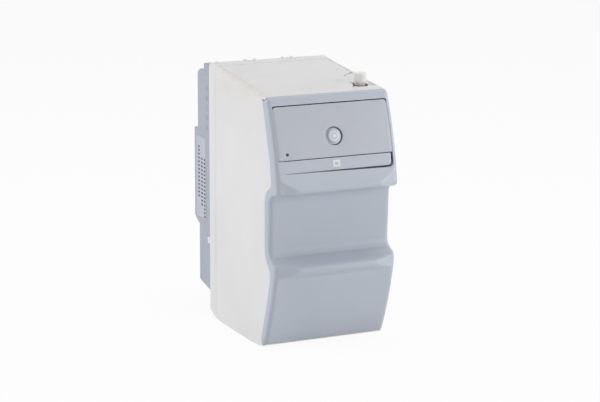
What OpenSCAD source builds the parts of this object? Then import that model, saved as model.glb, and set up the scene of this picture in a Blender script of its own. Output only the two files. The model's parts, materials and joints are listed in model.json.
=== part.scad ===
// Prepaid electricity meter: off-white hood, blue-grey stepped fascia with a flip-up door,
// press-down door latch, hinged service lid with a turn-lock seal post, and a grey plug-in
// terminal base. Front faces -Y, wall plane faces +Y, +Z is up, z = 0 is the hood's foot.

/* [Meter body] */
// Width over the side walls
body_w = 105; // [84:1:130]
// Height of the hood's rear top edge
body_h = 212; // [170:1:260]
// Depth of the hood, from the fascia's top edge to the rear rim
hood_d = 112; // [90:1:140]
// How far the grip lip stands ahead of the fascia's top edge
lip_reach = 24; // [18:1:30]
// Depth of the terminal base behind the hood
base_d = 32; // [26:1:42]
// Wall thickness of the moulded shells
wall = 2.2; // [1.6:0.1:3]

/* [Door and lid] */
// Radius of the steel hinge pins
pin_r = 0.9; // [0.7:0.05:1.2]
// Running clearance round a hinge pin
pin_fit = 0.05; // [0.03:0.01:0.1]
// Radius of the round button in the door
button_r = 6.6; // [5:0.1:8]
// Radius of the seal post's ribbed head
post_r = 5.4; // [4:0.1:6]

/* [Wall fixing and terminals] */
// Spacing of the four wall screws, both ways
fixing_pitch = 60; // [40:1:64]
// Radius of the wall screw holes
fixing_hole_r = 2.6; // [2:0.1:3.2]
// Radius of the cable bore in each terminal
cable_bore_r = 4.5; // [3:0.1:5]

/* [Hidden] */
$fn = 48;

// Every length below is in millimetres, written for the nominal 105 x 212 body and carried
// to other sizes by these three factors.
wide = body_w / 105;
tall = body_h / 212;
reach = lip_reach / 24;
half_w = body_w / 2;
inner_w = half_w - 0.3 - wall;
base_back = hood_d + base_d;
step_back = base_back - 10;
datum_shift = (base_back - lip_reach) / 2;
roof_slope = 5.8;
roof_front = body_h - hood_d * tan(roof_slope);
seam = 0.4;
far = 400;

// Small plane-geometry helpers. Section points are [y, z], y growing to the rear.
function unit(a, b) = (b - a) / norm(b - a);
function right_of(u) = [u[1], -u[0]];
function arc_r(p, q, sag) = (norm(q - p) * norm(q - p) / 4 + sag * sag) / (2 * sag);
function arc_c(p, q, sag) = (p + q) / 2 - right_of(unit(p, q)) * (arc_r(p, q, sag) - sag);
function arc_points(p, q, sag, n) =
    let (c = arc_c(p, q, sag), r = arc_r(p, q, sag),
         a0 = atan2(p[1] - c[1], p[0] - c[0]), half = asin(norm(q - p) / 2 / r))
    [for (i = [0:n]) c + r * [cos(a0 + 2 * half * i / n), sin(a0 + 2 * half * i / n)]];
function miter(u, v, d) =
    let (a = [-u[1], u[0]], b = [-v[1], v[0]]) (a + b) * d / (1 + a * b);
function inset(pts, d) =
    let (n = len(pts))
    [for (i = [0:n - 1])
        pts[i] + miter(unit(pts[max(i - 1, 0)], pts[max(i, 1)]),
                       unit(pts[min(i, n - 2)], pts[min(i + 1, n - 1)]), d)];
function flip(pts) = [for (i = [len(pts) - 1:-1:0]) pts[i]];
function spot(y, z) = [y * reach, z * tall];
function roof_z(y) = roof_front + y * tan(roof_slope);

// Front face section: upper panel arc, grip recess, lower panel arc.
face_top = [0, roof_front - 0.1];
face_nose = spot(-20.5, 128.7);
face_sag = 2.9;
face_r = arc_r(face_top, face_nose, face_sag);
face_c = arc_c(face_top, face_nose, face_sag);
low_top = spot(-17.3, 70.2);
low_end = spot(1.7, 8);
recess_path = [
    spot(-11.6, 125.8), spot(-9.2, 124.7), spot(-7.3, 122.9), spot(-6.3, 120.5), spot(-6, 104),
    spot(-5, 84), spot(-5, 81.5), spot(-6, 78.5), spot(-8.3, 75.6), spot(-11.8, 73.3)
];
face_path = concat(
    arc_points(face_top, face_nose, face_sag, 14),
    recess_path,
    arc_points(low_top, low_end, 2.2, 10),
    [spot(2.8, 5.4), spot(4.6, 3.6)]
);
hood_edge = [
    [7.5, roof_front - wall], spot(4.5, 190.2), spot(-1.1, 170.5), spot(-6.8, 152.5),
    spot(-9.6, 134.7), spot(-7, 130.6), spot(-2, 128.4), spot(1.4, 123.5), spot(2.5, 118.2),
    spot(2.4, 81.5), spot(1.2, 76), spot(-1.1, 71.9), spot(-4.6, 68.4), spot(-7.4, 64.6),
    spot(-7.2, 58), spot(-6.2, 53.6), spot(-3.2, 43), spot(2.8, 25.2), spot(8.5, 9.2),
    spot(9.4, 5.6)
];

// Closed section of the fascia with its front eased back by the given amount.
function fascia_section(ease) = concat(
    [for (p = face_path) p + [ease, 0]],
    flip([for (i = [1:len(hood_edge) - 1]) hood_edge[i] - [seam, 0]]),
    [[7.5 - seam, roof_front - wall - 0.4], [2.1, roof_front - wall - 0.4], [2.1, roof_front + 0.1]]
);

// A point on the upper panel's arc at height z, and the panel's lean there.
function lean(z) = asin((z - face_c[1]) / face_r);
function face_y(z) = face_c[0] - face_r * cos(lean(z));
function face_band(d0, d1, z0, z1, n) = concat(
    [for (i = [0:n]) let (a = lean(z0) + (lean(z1) - lean(z0)) * i / n)
        face_c + (face_r - d0) * [-cos(a), sin(a)]],
    [for (i = [n:-1:0]) let (a = lean(z0) + (lean(z1) - lean(z0)) * i / n)
        face_c + (face_r - d1) * [-cos(a), sin(a)]]
);

// Carries a drawing from the fascia datum to the part's own origin.
module seat() {
    translate([0, -datum_shift, 0]) children();
}
// Extrudes a [y, z] section along X, centred.
module across(width) {
    rotate([90, 0, 90]) linear_extrude(width, center = true) children();
}
// Extrudes an [x, z] outline along Y from y0 to y1.
module along(y0, y1) {
    translate([0, y1, 0]) rotate([90, 0, 0]) linear_extrude(y1 - y0) children();
}
// Places children on the upper panel: local -Y leaves the face, +Z runs up it.
module on_face(z, depth) {
    translate([0, face_y(z), z]) rotate([-lean(z), 0, 0]) translate([0, depth, 0]) children();
}
module both_sides() {
    children();
    mirror([1, 0, 0]) children();
}
module x_rod(x0, x1, r) {
    translate([x0, 0, 0]) rotate([0, 90, 0]) cylinder(h = x1 - x0, r = r);
}
module y_rod(y0, y1, r) {
    translate([0, y0, 0]) rotate([-90, 0, 0]) cylinder(h = y1 - y0, r = r);
}
module block(x, y, z) {
    translate([x[0], y[0], z[0]]) cube([x[1] - x[0], y[1] - y[0], z[1] - z[0]]);
}
module rounded_plate(w, h, r) {
    // w x h rectangle centred on the origin with all four corners rounded
    union() {
        square([w - 2 * r, h], center = true);
        square([w, h - 2 * r], center = true);
        for (sx = [-1, 1], sz = [-1, 1]) translate([sx * (w / 2 - r), sz * (h / 2 - r)]) circle(r);
    }
}
module screw(r, length, head_r, head_h) {
    // slotted pan-head screw, head towards +Y, shank towards -Y
    y_rod(-length, 0, r);
    difference() {
        y_rod(0, head_h, head_r);
        block([-head_r, head_r], [head_h - 0.6, head_h + 1], [-0.4, 0.4]);
    }
}

// ---- shells ----

module roof_outline(top_r, w) {
    // keeps everything under the sloping roof, with rounded long edges
    translate([0, 0, roof_front]) rotate([roof_slope, 0, 0])
        translate([0, far, 0]) rotate([90, 0, 0]) linear_extrude(2 * far) union() {
            translate([-w / 2 + top_r, -far]) square([w - 2 * top_r, far]);
            translate([-w / 2, -far]) square([w, far - top_r]);
            for (s = [-1, 1]) translate([s * (w / 2 - top_r), -top_r]) circle(top_r);
        }
}

skirt_d = 12;
// The foot turns up towards the rear edge.
heel = [[hood_d - 24, 0], [hood_d - 12, 1], [hood_d - 7, 2.8], [hood_d - 3, 5], [hood_d, 7.2]];
lid_front = 12.7;
lid_back = hood_d - 12;
lid_half = half_w - 4.6;
lid_gap = 0.8;
lid_pin_y = lid_back - 3;
lid_pin_z = roof_z(lid_pin_y) - 2.6;

module hood() color([0.90, 0.89, 0.88]) seat() {
    difference() {
        union() {
            intersection() {
                across(body_w - 0.6) polygon(concat(
                    [[2.5, roof_z(2.5)], [2.5, roof_front - wall]], hood_edge,
                    [spot(5.6, 2.7), spot(12, 1.2), [30, 0]], heel, [[hood_d, roof_z(hood_d)]]));
                roof_outline(3, body_w - 0.6);
            }
            // rear skirt, a touch proud of the walls
            intersection() {
                across(body_w) polygon(concat(
                    [[hood_d - skirt_d, heel[1][1]]], [for (i = [2:4]) heel[i]],
                    [[hood_d, roof_z(hood_d)], [hood_d - skirt_d, roof_z(hood_d - skirt_d)]]));
                roof_outline(3, body_w);
            }
            // small snap ribs along the rear top edge
            for (x = [-46.6, -21.4, -13, 12, 19.9])
                block([x * wide - 1.4, x * wide + 1.4], [hood_d - 5, hood_d - 0.4],
                      [body_h - 2, body_h + 1.6]);
        }
        // inside of the shell, open to the front and to the rear
        across(2 * inner_w) polygon(concat(
            [[-60, wall + 1], [30, wall]], [for (p = heel) p + [0, wall]],
            [[hood_d + 1, heel[4][1] + wall], [hood_d + 1, roof_z(hood_d + 1) - wall]],
            [[lid_front - 0.4 - 3, roof_z(lid_front - 3.4) - wall]],
            [[-60, roof_front - wall - 4]]));
        // lid opening in the roof
        difference() {
            block([-lid_half - 0.5, lid_half + 0.5], [lid_front - 0.4, lid_back + lid_gap],
                  [roof_front - 12, body_h + 20]);
            // sunken corner pad round the seal post
            across(body_w) polygon([
                [lid_front - 1, roof_z(lid_front - 1) - 2.3], [60, roof_z(60) - 2.3],
                [60, roof_z(60) - pad_drop], [lid_front - 1, roof_z(lid_front - 1) - pad_drop]]);
        }
        // the pad keeps clear of the lid and of the post
        difference() {
            block([-lid_half - 0.5, lid_half + 0.5], [lid_front - 0.4, lid_back + lid_gap],
                  [roof_front - 12, body_h + 20]);
            translate([0, 0, roof_front - 12]) linear_extrude(40) pad_plan();
        }
        translate([post_x, post_y, roof_front - 12]) cylinder(h = 40, r = post_r + 0.5);
        // bores for the lid's hinge pins
        translate([0, lid_pin_y, lid_pin_z]) x_rod(-half_w + 1.2, half_w - 1.2, pin_r + pin_fit);
    }
    // bosses that carry the lid's hinge pins
    both_sides() difference() {
        translate([0, lid_pin_y, lid_pin_z]) x_rod(lid_half + 0.5, inner_w + 0.5, 2.2);
        translate([0, lid_pin_y, lid_pin_z]) x_rod(0, half_w - 1.2, pin_r + pin_fit);
    }
}

door_top = 193.2 * tall;
door_foot = 153.8 * tall;
door_half = half_w - 4.1;
door_gap = 0.8;
door_pin_down = 2.4;
door_pin_in = 2.8;
door_pin_a = lean(door_top) - atan(door_pin_down / face_r);
door_pin = face_c + (face_r - door_pin_in) * [-cos(door_pin_a), sin(door_pin_a)];
latch_top = 153.3 * tall;
latch_foot = 143.9 * tall;
latch_h = latch_top - latch_foot;
latch_z = (latch_top + latch_foot) / 2;
latch_left = -half_w + 10.5;
latch_right = half_w - 5.6;

module lip(section, crest, inner_x, outer_x, fall) {
    // grip lip: full section in the middle, ends cut away at a slant
    difference() {
        across(2 * outer_x) polygon(section);
        both_sides() translate([inner_x, crest, -far / 2])
            rotate([0, 0, atan(fall / (outer_x - inner_x))]) translate([-4, -30, 0]) cube([60, 30, far * 2]);
    }
}

module face_opening() {
    // door and latch cut-out, seen from the front
    cut_x = door_half + door_gap - 4.6;
    union() {
        translate([-door_half - door_gap, door_foot - 1])
            square([2 * (door_half + door_gap), door_top - door_foot - 3]);
        translate([0, door_top - 5]) rounded_plate(2 * (door_half + door_gap), 12, 2);
        polygon([[latch_left, latch_foot - 0.4], [cut_x, latch_foot - 1.6], [cut_x, door_foot],
                 [latch_left, door_foot]]);
        translate([cut_x, latch_foot + 3]) circle(4.6);
        translate([cut_x - 1, latch_foot + 3]) square([5.6, latch_h]);
        translate([latch_left, latch_z]) circle(latch_h / 2 + 0.35);
    }
}

module fascia() color([0.62, 0.66, 0.71]) seat() {
    w = body_w - 0.4;
    upper_lip = [
        spot(-17.2, 146), spot(-18.9, 141.5), spot(-20.7, 137.4), spot(-22.6, 133.6),
        spot(-24, 131.4), spot(-24, 129.4), spot(-23.2, 128.4), spot(-20.6, 127.9),
        spot(-12, 126.3), spot(-12, 140)];
    lower_lip = [
        spot(-9.5, 75.4), spot(-14.5, 72.6), spot(-19.2, 70.8), spot(-21.4, 69.6),
        spot(-22.3, 68), spot(-22, 66.2), spot(-20.8, 64.4), spot(-18.6, 62.6),
        spot(-15, 60), spot(-12, 66)];
    intersection() {
        union() {
            difference() {
                union() {
                    // three nested slices ease the long vertical edges
                    across(w - 3.2) polygon(fascia_section(0));
                    across(w - 1.4) polygon(fascia_section(0.4));
                    across(w) polygon(fascia_section(1.2));
                    lip(upper_lip, -lip_reach, 35 * wide, 51 * wide, 5);
                    lip(lower_lip, spot(-22.3, 0)[0], 33 * wide, 51 * wide, 6);
                }
                // hollow behind the front wall
                across(2 * inner_w) polygon(concat(
                    inset(face_path, wall), [[90, 6], [90, roof_front - 2 * wall - 1]]));
                // door and latch cut-out, square to the face
                intersection() {
                    along(-60, 60) face_opening();
                    across(body_w) polygon(face_band(-6, wall + 1.4, latch_foot - 4, door_top + 4, 10));
                }
                // blind bores for the door's hinge pins
                translate([0, door_pin[0], door_pin[1]]) x_rod(-half_w + 1.2, half_w - 1.2, pin_r + pin_fit);
            }
            // bosses that carry the door's hinge pins
            both_sides() difference() {
                translate([0, door_pin[0], door_pin[1]]) x_rod(door_half + 0.55, inner_w + 0.5, 2.1);
                translate([0, door_pin[0], door_pin[1]]) x_rod(0, half_w - 1.2, pin_r + pin_fit);
            }
            // snap tongues that slip inside the hood's walls
            both_sides() for (z = [24, 96]) {
                difference() {
                    block([inner_w - 1.9, inner_w - 0.35], [-9 * reach, 22], [z * tall, (z + 16) * tall]);
                    across(2 * half_w) polygon(concat([[-80, 300]], inset(face_path, wall - 0.5), [[-80, -5]]));
                }
                intersection() {
                    across(2 * half_w) polygon(fascia_section(1.6));
                    block([inner_w - 1.9, inner_w + 0.1], [-60, 60], [z * tall, (z + 16) * tall]);
                }
            }
        }
        // rounded corners, seen from the front
        along(-100, 100) translate([0, (roof_front + 1.8) / 2])
            rounded_plate(w, roof_front - 1.6, 5);
    }
}

base_top = body_h - 8.5;
upper_step = 2.6;
base_foot = 22 * tall;
plateau = [74 * tall, 154 * tall];
fixing_z = 114 * tall;
block_pitch = 18.5 * wide;
clamp_z = 36 * tall;
// Columns for the hood screws stand just inside the base's spigot.
screw_x = inner_w - 5.3;

module rear_base() color([0.60, 0.62, 0.65]) seat() {
    front = hood_d + seam;
    difference() {
        union() {
            intersection() {
                across(body_w - 0.6) polygon([
                    [front, base_foot], [front, base_top], [step_back + upper_step, base_top],
                    [step_back + upper_step, plateau[1]], [base_back, plateau[1]],
                    [base_back, plateau[0] + 6], [base_back - 4, plateau[0] + 2.6],
                    [step_back, plateau[0]], [step_back, base_foot + 4.5]]);
                along(0, 300) translate([0, (base_top + base_foot - 20) / 2])
                    rounded_plate(body_w - 0.6, base_top - base_foot + 20, 3.6);
            }
            // spigot that enters the hood
            difference() {
                block([-inner_w + 0.4, inner_w - 0.4], [hood_d - 8, front + 1], [base_foot + 3, base_top - 3]);
                block([-inner_w + 2, inner_w - 2], [hood_d - 9, front + 2], [base_foot + 4.8, base_top - 4.8]);
            }
            // finger tab on the top left corner
            block([-half_w + 0.7, -half_w + 11], [hood_d + 1, hood_d + 12], [base_top - 4, base_top + 6.4]);
        }
        // hollow inside
        across(body_w - 2 * wall - 0.6) polygon([
            [front + 1.8, base_foot + 3], [front + 1.8, base_top - 2.5],
            [step_back - 2.5, base_top - 2.5], [step_back - 2.5, base_foot + 7]]);
        block([-inner_w + 2, inner_w - 2], [hood_d - 9, front + 3], [base_foot + 4.8, base_top - 4.8]);
        // hollow of the rear plateau
        block([-half_w + wall + 0.3, half_w - wall - 0.3], [step_back - 4, base_back - 2.5],
              [plateau[0] + 9, plateau[1] - 3]);
        // cable entry in the foot
        block([-half_w + 9, half_w - 9], [front + 3, step_back - 3.5], [base_foot - 1, base_foot + 10]);
        // wall screw holes
        for (sx = [-1, 1], sz = [-1, 1])
            translate([sx * fixing_pitch / 2, 0, fixing_z + sz * fixing_pitch / 2])
                y_rod(step_back - 12, base_back + 1, fixing_hole_r);
        // holes for the four hood screws
        for (sx = [-1, 1], z = [40 * tall, 182 * tall])
            translate([sx * screw_x, 0, z]) y_rod(step_back - 5, step_back + 4, 1.6);
        // slot for the hood's snap clip
        block([-half_w - 1, -half_w + 3], [front - 1, hood_d + 5.4], [60.6 * tall, 67.4 * tall]);
        // shallow slots beside the hood edge
        for (sx = [-1, 1], z = [156, 164, 172, 180, 188])
            block([sx * half_w - 0.5, sx * half_w + 0.5], [hood_d + 2.4, hood_d + 6], [z * tall, (z + 4) * tall]);
    }
}

// ---- door, button and latch ----

module door_outline() {
    union() {
        translate([-door_half, door_foot]) square([2 * door_half, door_top - door_foot - 6]);
        translate([0, door_top - 6]) rounded_plate(2 * door_half, 12 - 0.01, 2.6);
    }
}

button_z = 169.4 * tall;

module door() color([0.58, 0.62, 0.67]) seat() {
    difference() {
        union() {
            intersection() {
                across(2 * door_half) polygon(face_band(0, wall, door_foot, door_top, 10));
                along(-60, 60) door_outline();
            }
            // hinge ears
            both_sides() translate([0, door_pin[0], door_pin[1]]) x_rod(door_half - 3.2, door_half - 0.3, 2.3);
            // guide cup behind the button
            on_face(button_z, 0) difference() {
                y_rod(wall - 0.6, 5.8, button_r + 2);
                y_rod(0, 4.4, button_r + 0.7);
                y_rod(0, 8, 2.56);
            }
            // grip rib along the lower edge, inside
            across(60 * wide) polygon(face_band(wall - 0.2, wall + 1.6, door_foot + 0.6, door_foot + 2, 1));
        }
        // eased front edge at the hinge side
        across(body_w) polygon(concat(
            face_band(-1, 0.35, door_top - 0.5, door_top + 1, 1)));
        translate([0, door_pin[0], door_pin[1]]) x_rod(-half_w, half_w, pin_r + pin_fit);
        on_face(button_z, 0) y_rod(-3, wall + 0.4, button_r + 0.7);
        on_face(158.2 * tall, 0) translate([-41.1 * wide, 0, 0]) y_rod(-3, wall + 1, 1.2);
    }
}

module door_hinge_pins() color([0.75, 0.75, 0.77]) seat() {
    both_sides() translate([0, door_pin[0], door_pin[1]]) x_rod(door_half - 3.4, half_w - 1.4, pin_r);
}

module led_lens() color([0.10, 0.08, 0.09]) seat() {
    on_face(158.2 * tall, 0) translate([-41.1 * wide, 0, 0]) {
        y_rod(0.1, wall, 1.15);
        y_rod(wall + 0.15, wall + 1, 1.6);
        y_rod(wall - 0.1, wall + 0.2, 1.15);
    }
}

module push_button() color([0.66, 0.70, 0.74]) seat() {
    on_face(button_z, 0) {
        difference() {
            y_rod(-0.15, 2, button_r);
            y_rod(-1, 0.25, button_r - 1.6);
        }
        y_rod(1.9, 6.1, 2.5);
    }
}

module button_mark() color([0.50, 0.53, 0.58]) seat() {
    on_face(button_z, 0) {
        difference() {
            y_rod(-0.1, 0.25, button_r - 2.6);
            y_rod(-1, 1, button_r - 3.5);
        }
        y_rod(-0.1, 0.25, 1.2);
    }
}

module latch_outline() {
    union() {
        translate([latch_left, latch_foot]) square([latch_right - latch_left - 3, latch_h]);
        translate([latch_left, latch_z]) circle(latch_h / 2);
        translate([latch_right - 8, latch_foot + 3]) square([8, latch_h - 3]);
        translate([latch_right - 3, latch_foot + 3]) circle(3);
    }
}

latch_mark_z = 148.9 * tall;

module latch_tongue() color([0.62, 0.66, 0.71]) seat() {
    difference() {
        intersection() {
            across(body_w) polygon(face_band(0, wall, latch_foot - 1, latch_top, 4));
            along(-60, 60) latch_outline();
        }
        on_face(latch_mark_z, 0) block([-3.25, 2.65], [-2, 0.35], [-2.7, 2.7]);
    }
}

module latch_mark() color([0.82, 0.84, 0.86]) seat() {
    on_face(latch_mark_z, 0) difference() {
        block([-3.2, 2.6], [-0.05, 0.3], [-2.65, 2.65]);
        block([-1.5, 0.9], [-1, 0.12], [-1.1, 1.1]);
    }
}

// ---- lid and seal post ----

post_x = 38.2 * wide;
post_y = 21;
floor_drop = 5;

// Left edge of the pocket for the seal post, in the lid's front right corner.
pocket_edge = [
    [post_x - 11.2, lid_front - 1], [post_x - 9.6, 14.5], [post_x - 7.4, 18],
    [post_x - 6.6, 21], [post_x - 5.7, 24], [post_x - 4.2, 28.5], [post_x - 3, 33],
    [post_x - 2, 40], [post_x - 1.4, 47], [post_x, 50.5], [lid_half + 1, 57]
];
pad_drop = 0.9;

module lid_plan() {
    difference() {
        translate([-lid_half, lid_front]) square([2 * lid_half, lid_back - lid_front]);
        polygon(concat(pocket_edge, [[lid_half + 1, lid_front - 1]]));
    }
}

module pad_plan() {
    // the pocket less a 0.6 mm gap to the lid
    polygon(concat([for (p = pocket_edge) p + [0.6, -0.6]],
                   [[lid_half + 3, 55], [lid_half + 3, lid_front - 2]]));
}

module top_lid() color([0.90, 0.89, 0.88]) seat() {
    difference() {
        union() {
            intersection() {
                across(body_w) polygon([
                    [lid_front, roof_z(lid_front) - 1], [lid_front + 2, roof_z(lid_front + 2) - 0.45],
                    [lid_front + 6, roof_z(lid_front + 6) - 0.15],
                    [lid_back - 1.5, roof_z(lid_back - 1.5)], [lid_back - 0.44, roof_z(lid_back) - 0.44],
                    [lid_back, roof_z(lid_back) - 1.5], [lid_back, roof_z(lid_back) - wall],
                    [lid_front, roof_z(lid_front) - wall - 0.4]]);
                translate([0, 0, roof_front - 30]) linear_extrude(90) lid_plan();
            }
            both_sides() translate([0, lid_pin_y, lid_pin_z]) x_rod(lid_half - 3.4, lid_half, 2.2);
            // stiffening ribs below
            for (x = [-30, 0, 26]) across_at(x * wide, 1.4) polygon([
                [58, roof_z(58) - wall + 0.3], [lid_back - 13, roof_z(lid_back - 13) - wall + 0.3],
                [lid_back - 13, roof_z(lid_back - 13) - 3.6], [58, roof_z(58) - 3.6]]);
            // holder for the tamper magnet
            translate([-30 * wide, 30, roof_z(30) - 3.2]) cylinder(h = 1.4, r = 4);
        }
        translate([0, lid_pin_y, lid_pin_z]) x_rod(-half_w, half_w, pin_r + pin_fit);
        translate([-30 * wide, 30, roof_z(30) - 4]) cylinder(h = 1.9, r = 2.55);
    }
}

module across_at(x, width) {
    translate([x, 0, 0]) across(width) children();
}

module lid_magnet() color([0.70, 0.70, 0.72]) seat() {
    translate([-30 * wide, 30, roof_z(30) - 3.2]) cylinder(h = 1.1, r = 2.5);
}

module lid_hinge_pins() color([0.75, 0.75, 0.77]) seat() {
    both_sides() translate([0, lid_pin_y, lid_pin_z]) x_rod(lid_half - 3.2, half_w - 1.4, pin_r);
}

module seal_post() color([0.88, 0.87, 0.85]) seat() {
    teeth = 26;
    foot_z = roof_z(post_y) - 1.5;
    head_z = roof_z(post_y) + 8.7;
    translate([post_x, post_y, 0]) {
        difference() {
            translate([0, 0, foot_z + 2]) linear_extrude(head_z - foot_z - 2)
                polygon([for (i = [0:2 * teeth - 1]) let (r = (i % 2 == 0) ? post_r : post_r - 0.4)
                    r * [cos(180 * i / teeth), sin(180 * i / teeth)]]);
            translate([0, 0, head_z - 0.8]) cylinder(h = 2, r = post_r - 1.6);
        }
        translate([0, 0, foot_z]) cylinder(h = 2.1, r1 = post_r - 1.4, r2 = post_r - 0.4);
        translate([0, 0, foot_z - 14]) cylinder(h = 14.1, r = 1.8);
    }
}

module seal_cam() color([0.70, 0.70, 0.72]) seat() {
    cam_z = roof_z(post_y) - 14.6;
    translate([post_x, post_y, cam_z]) difference() {
        union() {
            cylinder(h = 2, r = 3.6);
            translate([-2.2, 0, 0]) cube([4.4, 8, 2]);
        }
        translate([0, 0, -1]) cylinder(h = 4, r = 1.82);
    }
}

// Tray under the lid: sloping floor, snug battery well, bush for the seal post.
well_x = [-28 * wide, -28 * wide + 38];
well_y = [60, 80];
well_z = roof_z(70) - 22;

module service_tray() color([0.86, 0.85, 0.84]) seat() {
    difference() {
        union() {
            difference() {
                across(2 * inner_w - 0.6) polygon([
                    [lid_front - 3, roof_z(lid_front - 3) - wall - 0.5],
                    [lid_front - 3, roof_z(lid_front - 3) - floor_drop - 2],
                    [lid_back - 9, roof_z(lid_back - 9) - floor_drop - 2],
                    [lid_back - 9, roof_z(lid_back - 9) - wall - 0.5]]);
                across(2 * inner_w - 3.8) polygon([
                    [lid_front - 1.2, roof_z(lid_front - 1.2) + 5],
                    [lid_front - 1.2, roof_z(lid_front - 1.2) - floor_drop],
                    [lid_back - 10.6, roof_z(lid_back - 10.6) - floor_drop],
                    [lid_back - 10.6, roof_z(lid_back - 10.6) + 5]]);
            }
            translate([post_x, post_y, roof_z(post_y) - 12]) cylinder(h = 6, r = 4.2);
        }
        block([well_x[0] - 1.7, well_x[1] + 1.7], [well_y[0] - 1.7, well_y[1] + 1.7], [well_z, body_h + 10]);
        translate([post_x, post_y, roof_z(post_y) - 20]) cylinder(h = 30, r = 1.86);
    }
}

module battery_well() color([0.86, 0.85, 0.84]) seat() {
    // snug open box that hangs in the tray's floor
    difference() {
        block([well_x[0] - 1.6, well_x[1] + 1.6], [well_y[0] - 1.6, well_y[1] + 1.6],
              [well_z - 1.6, roof_z(well_y[0]) - floor_drop]);
        block([well_x[0], well_x[1]], [well_y[0], well_y[1]], [well_z, body_h]);
    }
}

module battery() color([0.35, 0.50, 0.40]) seat() {
    translate([0, 70, well_z + 7.6]) {
        x_rod(well_x[0] + 5, well_x[0] + 31, 7.25);
        x_rod(well_x[0] + 31, well_x[0] + 32.5, 3);
    }
}

module battery_clips() color([0.75, 0.74, 0.70]) seat() {
    block([well_x[0] + 3.6, well_x[0] + 4.6], [63, 77], [well_z + 0.1, well_z + 14]);
    block([well_x[0] + 33, well_x[0] + 34], [63, 77], [well_z + 0.1, well_z + 14]);
}

module reed_sensor() color([0.15, 0.15, 0.16]) seat() {
    translate([-30 * wide, 30, roof_z(30) - floor_drop - 2.1])
        block([-9, 9], [-2, 2], [-2.9, -0.3]);
}

// ---- display side, parallel to the upper panel ----

panel_z = 173 * tall;

module bezel() color([0.25, 0.27, 0.30]) seat() {
    on_face(panel_z, 0) difference() {
        block([-inner_w + 0.5, inner_w - 0.5], [6.6, 8.4], [-22 * tall, 19.5 * tall]);
        block([-43.5 * wide, -13.5 * wide], [5, 9], [-9 * tall, 12 * tall]);
        translate([0, 0, (button_z - panel_z) / cos(lean(panel_z))]) y_rod(5, 9, 4.2);
        block([13 * wide, 42 * wide], [5, 9], [4 * tall, 4 * tall + 1.8]);
        translate([20 * wide, 0, -9 * tall]) y_rod(5, 9, 5.1);
        translate([36 * wide, 0, -9 * tall]) y_rod(5, 9, 1.6);
    }
}

module lcd_frame() color([0.12, 0.12, 0.13]) seat() {
    on_face(panel_z, 0) difference() {
        block([-45.5 * wide, -11.5 * wide], [8.6, 13.2], [-11 * tall, 14 * tall]);
        block([-43.4 * wide, -13.6 * wide], [8, 11.6], [-8.9 * tall, 11.9 * tall]);
    }
}

module lcd_glass() color([0.55, 0.62, 0.50]) seat() {
    on_face(panel_z, 0) block([-43.2 * wide, -13.8 * wide], [9.4, 11.5], [-8.7 * tall, 11.7 * tall]);
}

module front_pcb() color([0.10, 0.35, 0.20]) seat() {
    on_face(panel_z, 0) block([-inner_w + 1.2, inner_w - 1.2], [14, 15.6], [-21 * tall, 16 * tall]);
}

module tact_switch() color([0.16, 0.16, 0.17]) seat() {
    on_face(panel_z, 0) translate([0, 0, (button_z - panel_z) / cos(lean(panel_z))]) {
        block([-6, 6], [9.6, 14], [-6, 6]);
        y_rod(8, 9.8, 1.75);
    }
}

module card_reader() color([0.20, 0.20, 0.22]) seat() {
    on_face(panel_z, 0) difference() {
        block([11 * wide, 44 * wide], [8.6, 13.9], [1 * tall, 4 * tall + 5]);
        block([13.4 * wide, 41.6 * wide], [8, 13], [4 * tall + 0.1, 4 * tall + 1.7]);
    }
}

module optical_port() color([0.14, 0.10, 0.12]) seat() {
    on_face(panel_z, 0) {
        translate([20 * wide, 0, -9 * tall]) {
            y_rod(6.2, 13.9, 5);
        }
        translate([36 * wide, 0, -9 * tall]) y_rod(6.2, 13.9, 1.5);
    }
}

module ribbon_cable() color([0.75, 0.76, 0.78]) seat() {
    y0 = face_y(150 * tall) + 17;
    yb = hood_d - 31;
    across_at(10, 18) polygon([
        [y0, 152 * tall], [y0 + 2, 150 * tall], [y0 + 10, 148 * tall], [y0 + 18, 148 * tall],
        [yb - 10, 162 * tall], [yb, 171 * tall], [yb, 172.2 * tall], [yb - 10.6, 163.2 * tall],
        [y0 + 17.6, 149.2 * tall], [y0 + 10, 149.2 * tall], [y0 + 2.4, 151 * tall],
        [y0 + 0.6, 153 * tall]]);
}

// ---- inner frame and electronics ----

plate_y = hood_d - 14;
pcb_y = plate_y - 8;
pcb_w = body_w - 21;
pcb_z = [68 * tall, 178 * tall];

module chassis() color([0.22, 0.23, 0.25]) seat() {
    difference() {
        union() {
            block([-inner_w + 0.5, inner_w - 0.5], [plate_y, plate_y + 2.4], [5, 186 * tall]);
            for (sx = [-1, 1], z = [pcb_z[0] + 6, pcb_z[1] - 6])
                translate([sx * (pcb_w / 2 - 5), 0, z]) y_rod(pcb_y + 1.6, plate_y + 1, 3.4);
            // columns that take the hood screws
            for (sx = [-1, 1], z = [40 * tall, 182 * tall])
                translate([sx * screw_x, 0, z]) y_rod(plate_y + 1, step_back - 2.8, 3);
            // shelf under the relay
            block([-40 * wide, 6], [plate_y - 48, plate_y + 1], [19 * tall, 19 * tall + 2]);
        }
        for (sx = [-1, 1], z = [pcb_z[0] + 6, pcb_z[1] - 6])
            translate([sx * (pcb_w / 2 - 5), 0, z]) y_rod(pcb_y, plate_y - 1, 1.3);
        for (sx = [-1, 1], z = [40 * tall, 182 * tall])
            translate([sx * screw_x, 0, z]) y_rod(step_back - 14, step_back, 1.45);
        // windows for the four contact blades
        for (i = [-1.5, -0.5, 0.5, 1.5])
            block([i * block_pitch - 2.2, i * block_pitch + 2.2], [plate_y - 1, plate_y + 4],
                  [43 * tall, 43 * tall + 16]);
        // lightening windows
        for (sx = [-1, 1]) block([sx * 24 * wide - 9, sx * 24 * wide + 9], [plate_y - 1, plate_y + 4],
                                 [90 * tall, 150 * tall]);
    }
}

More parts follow.
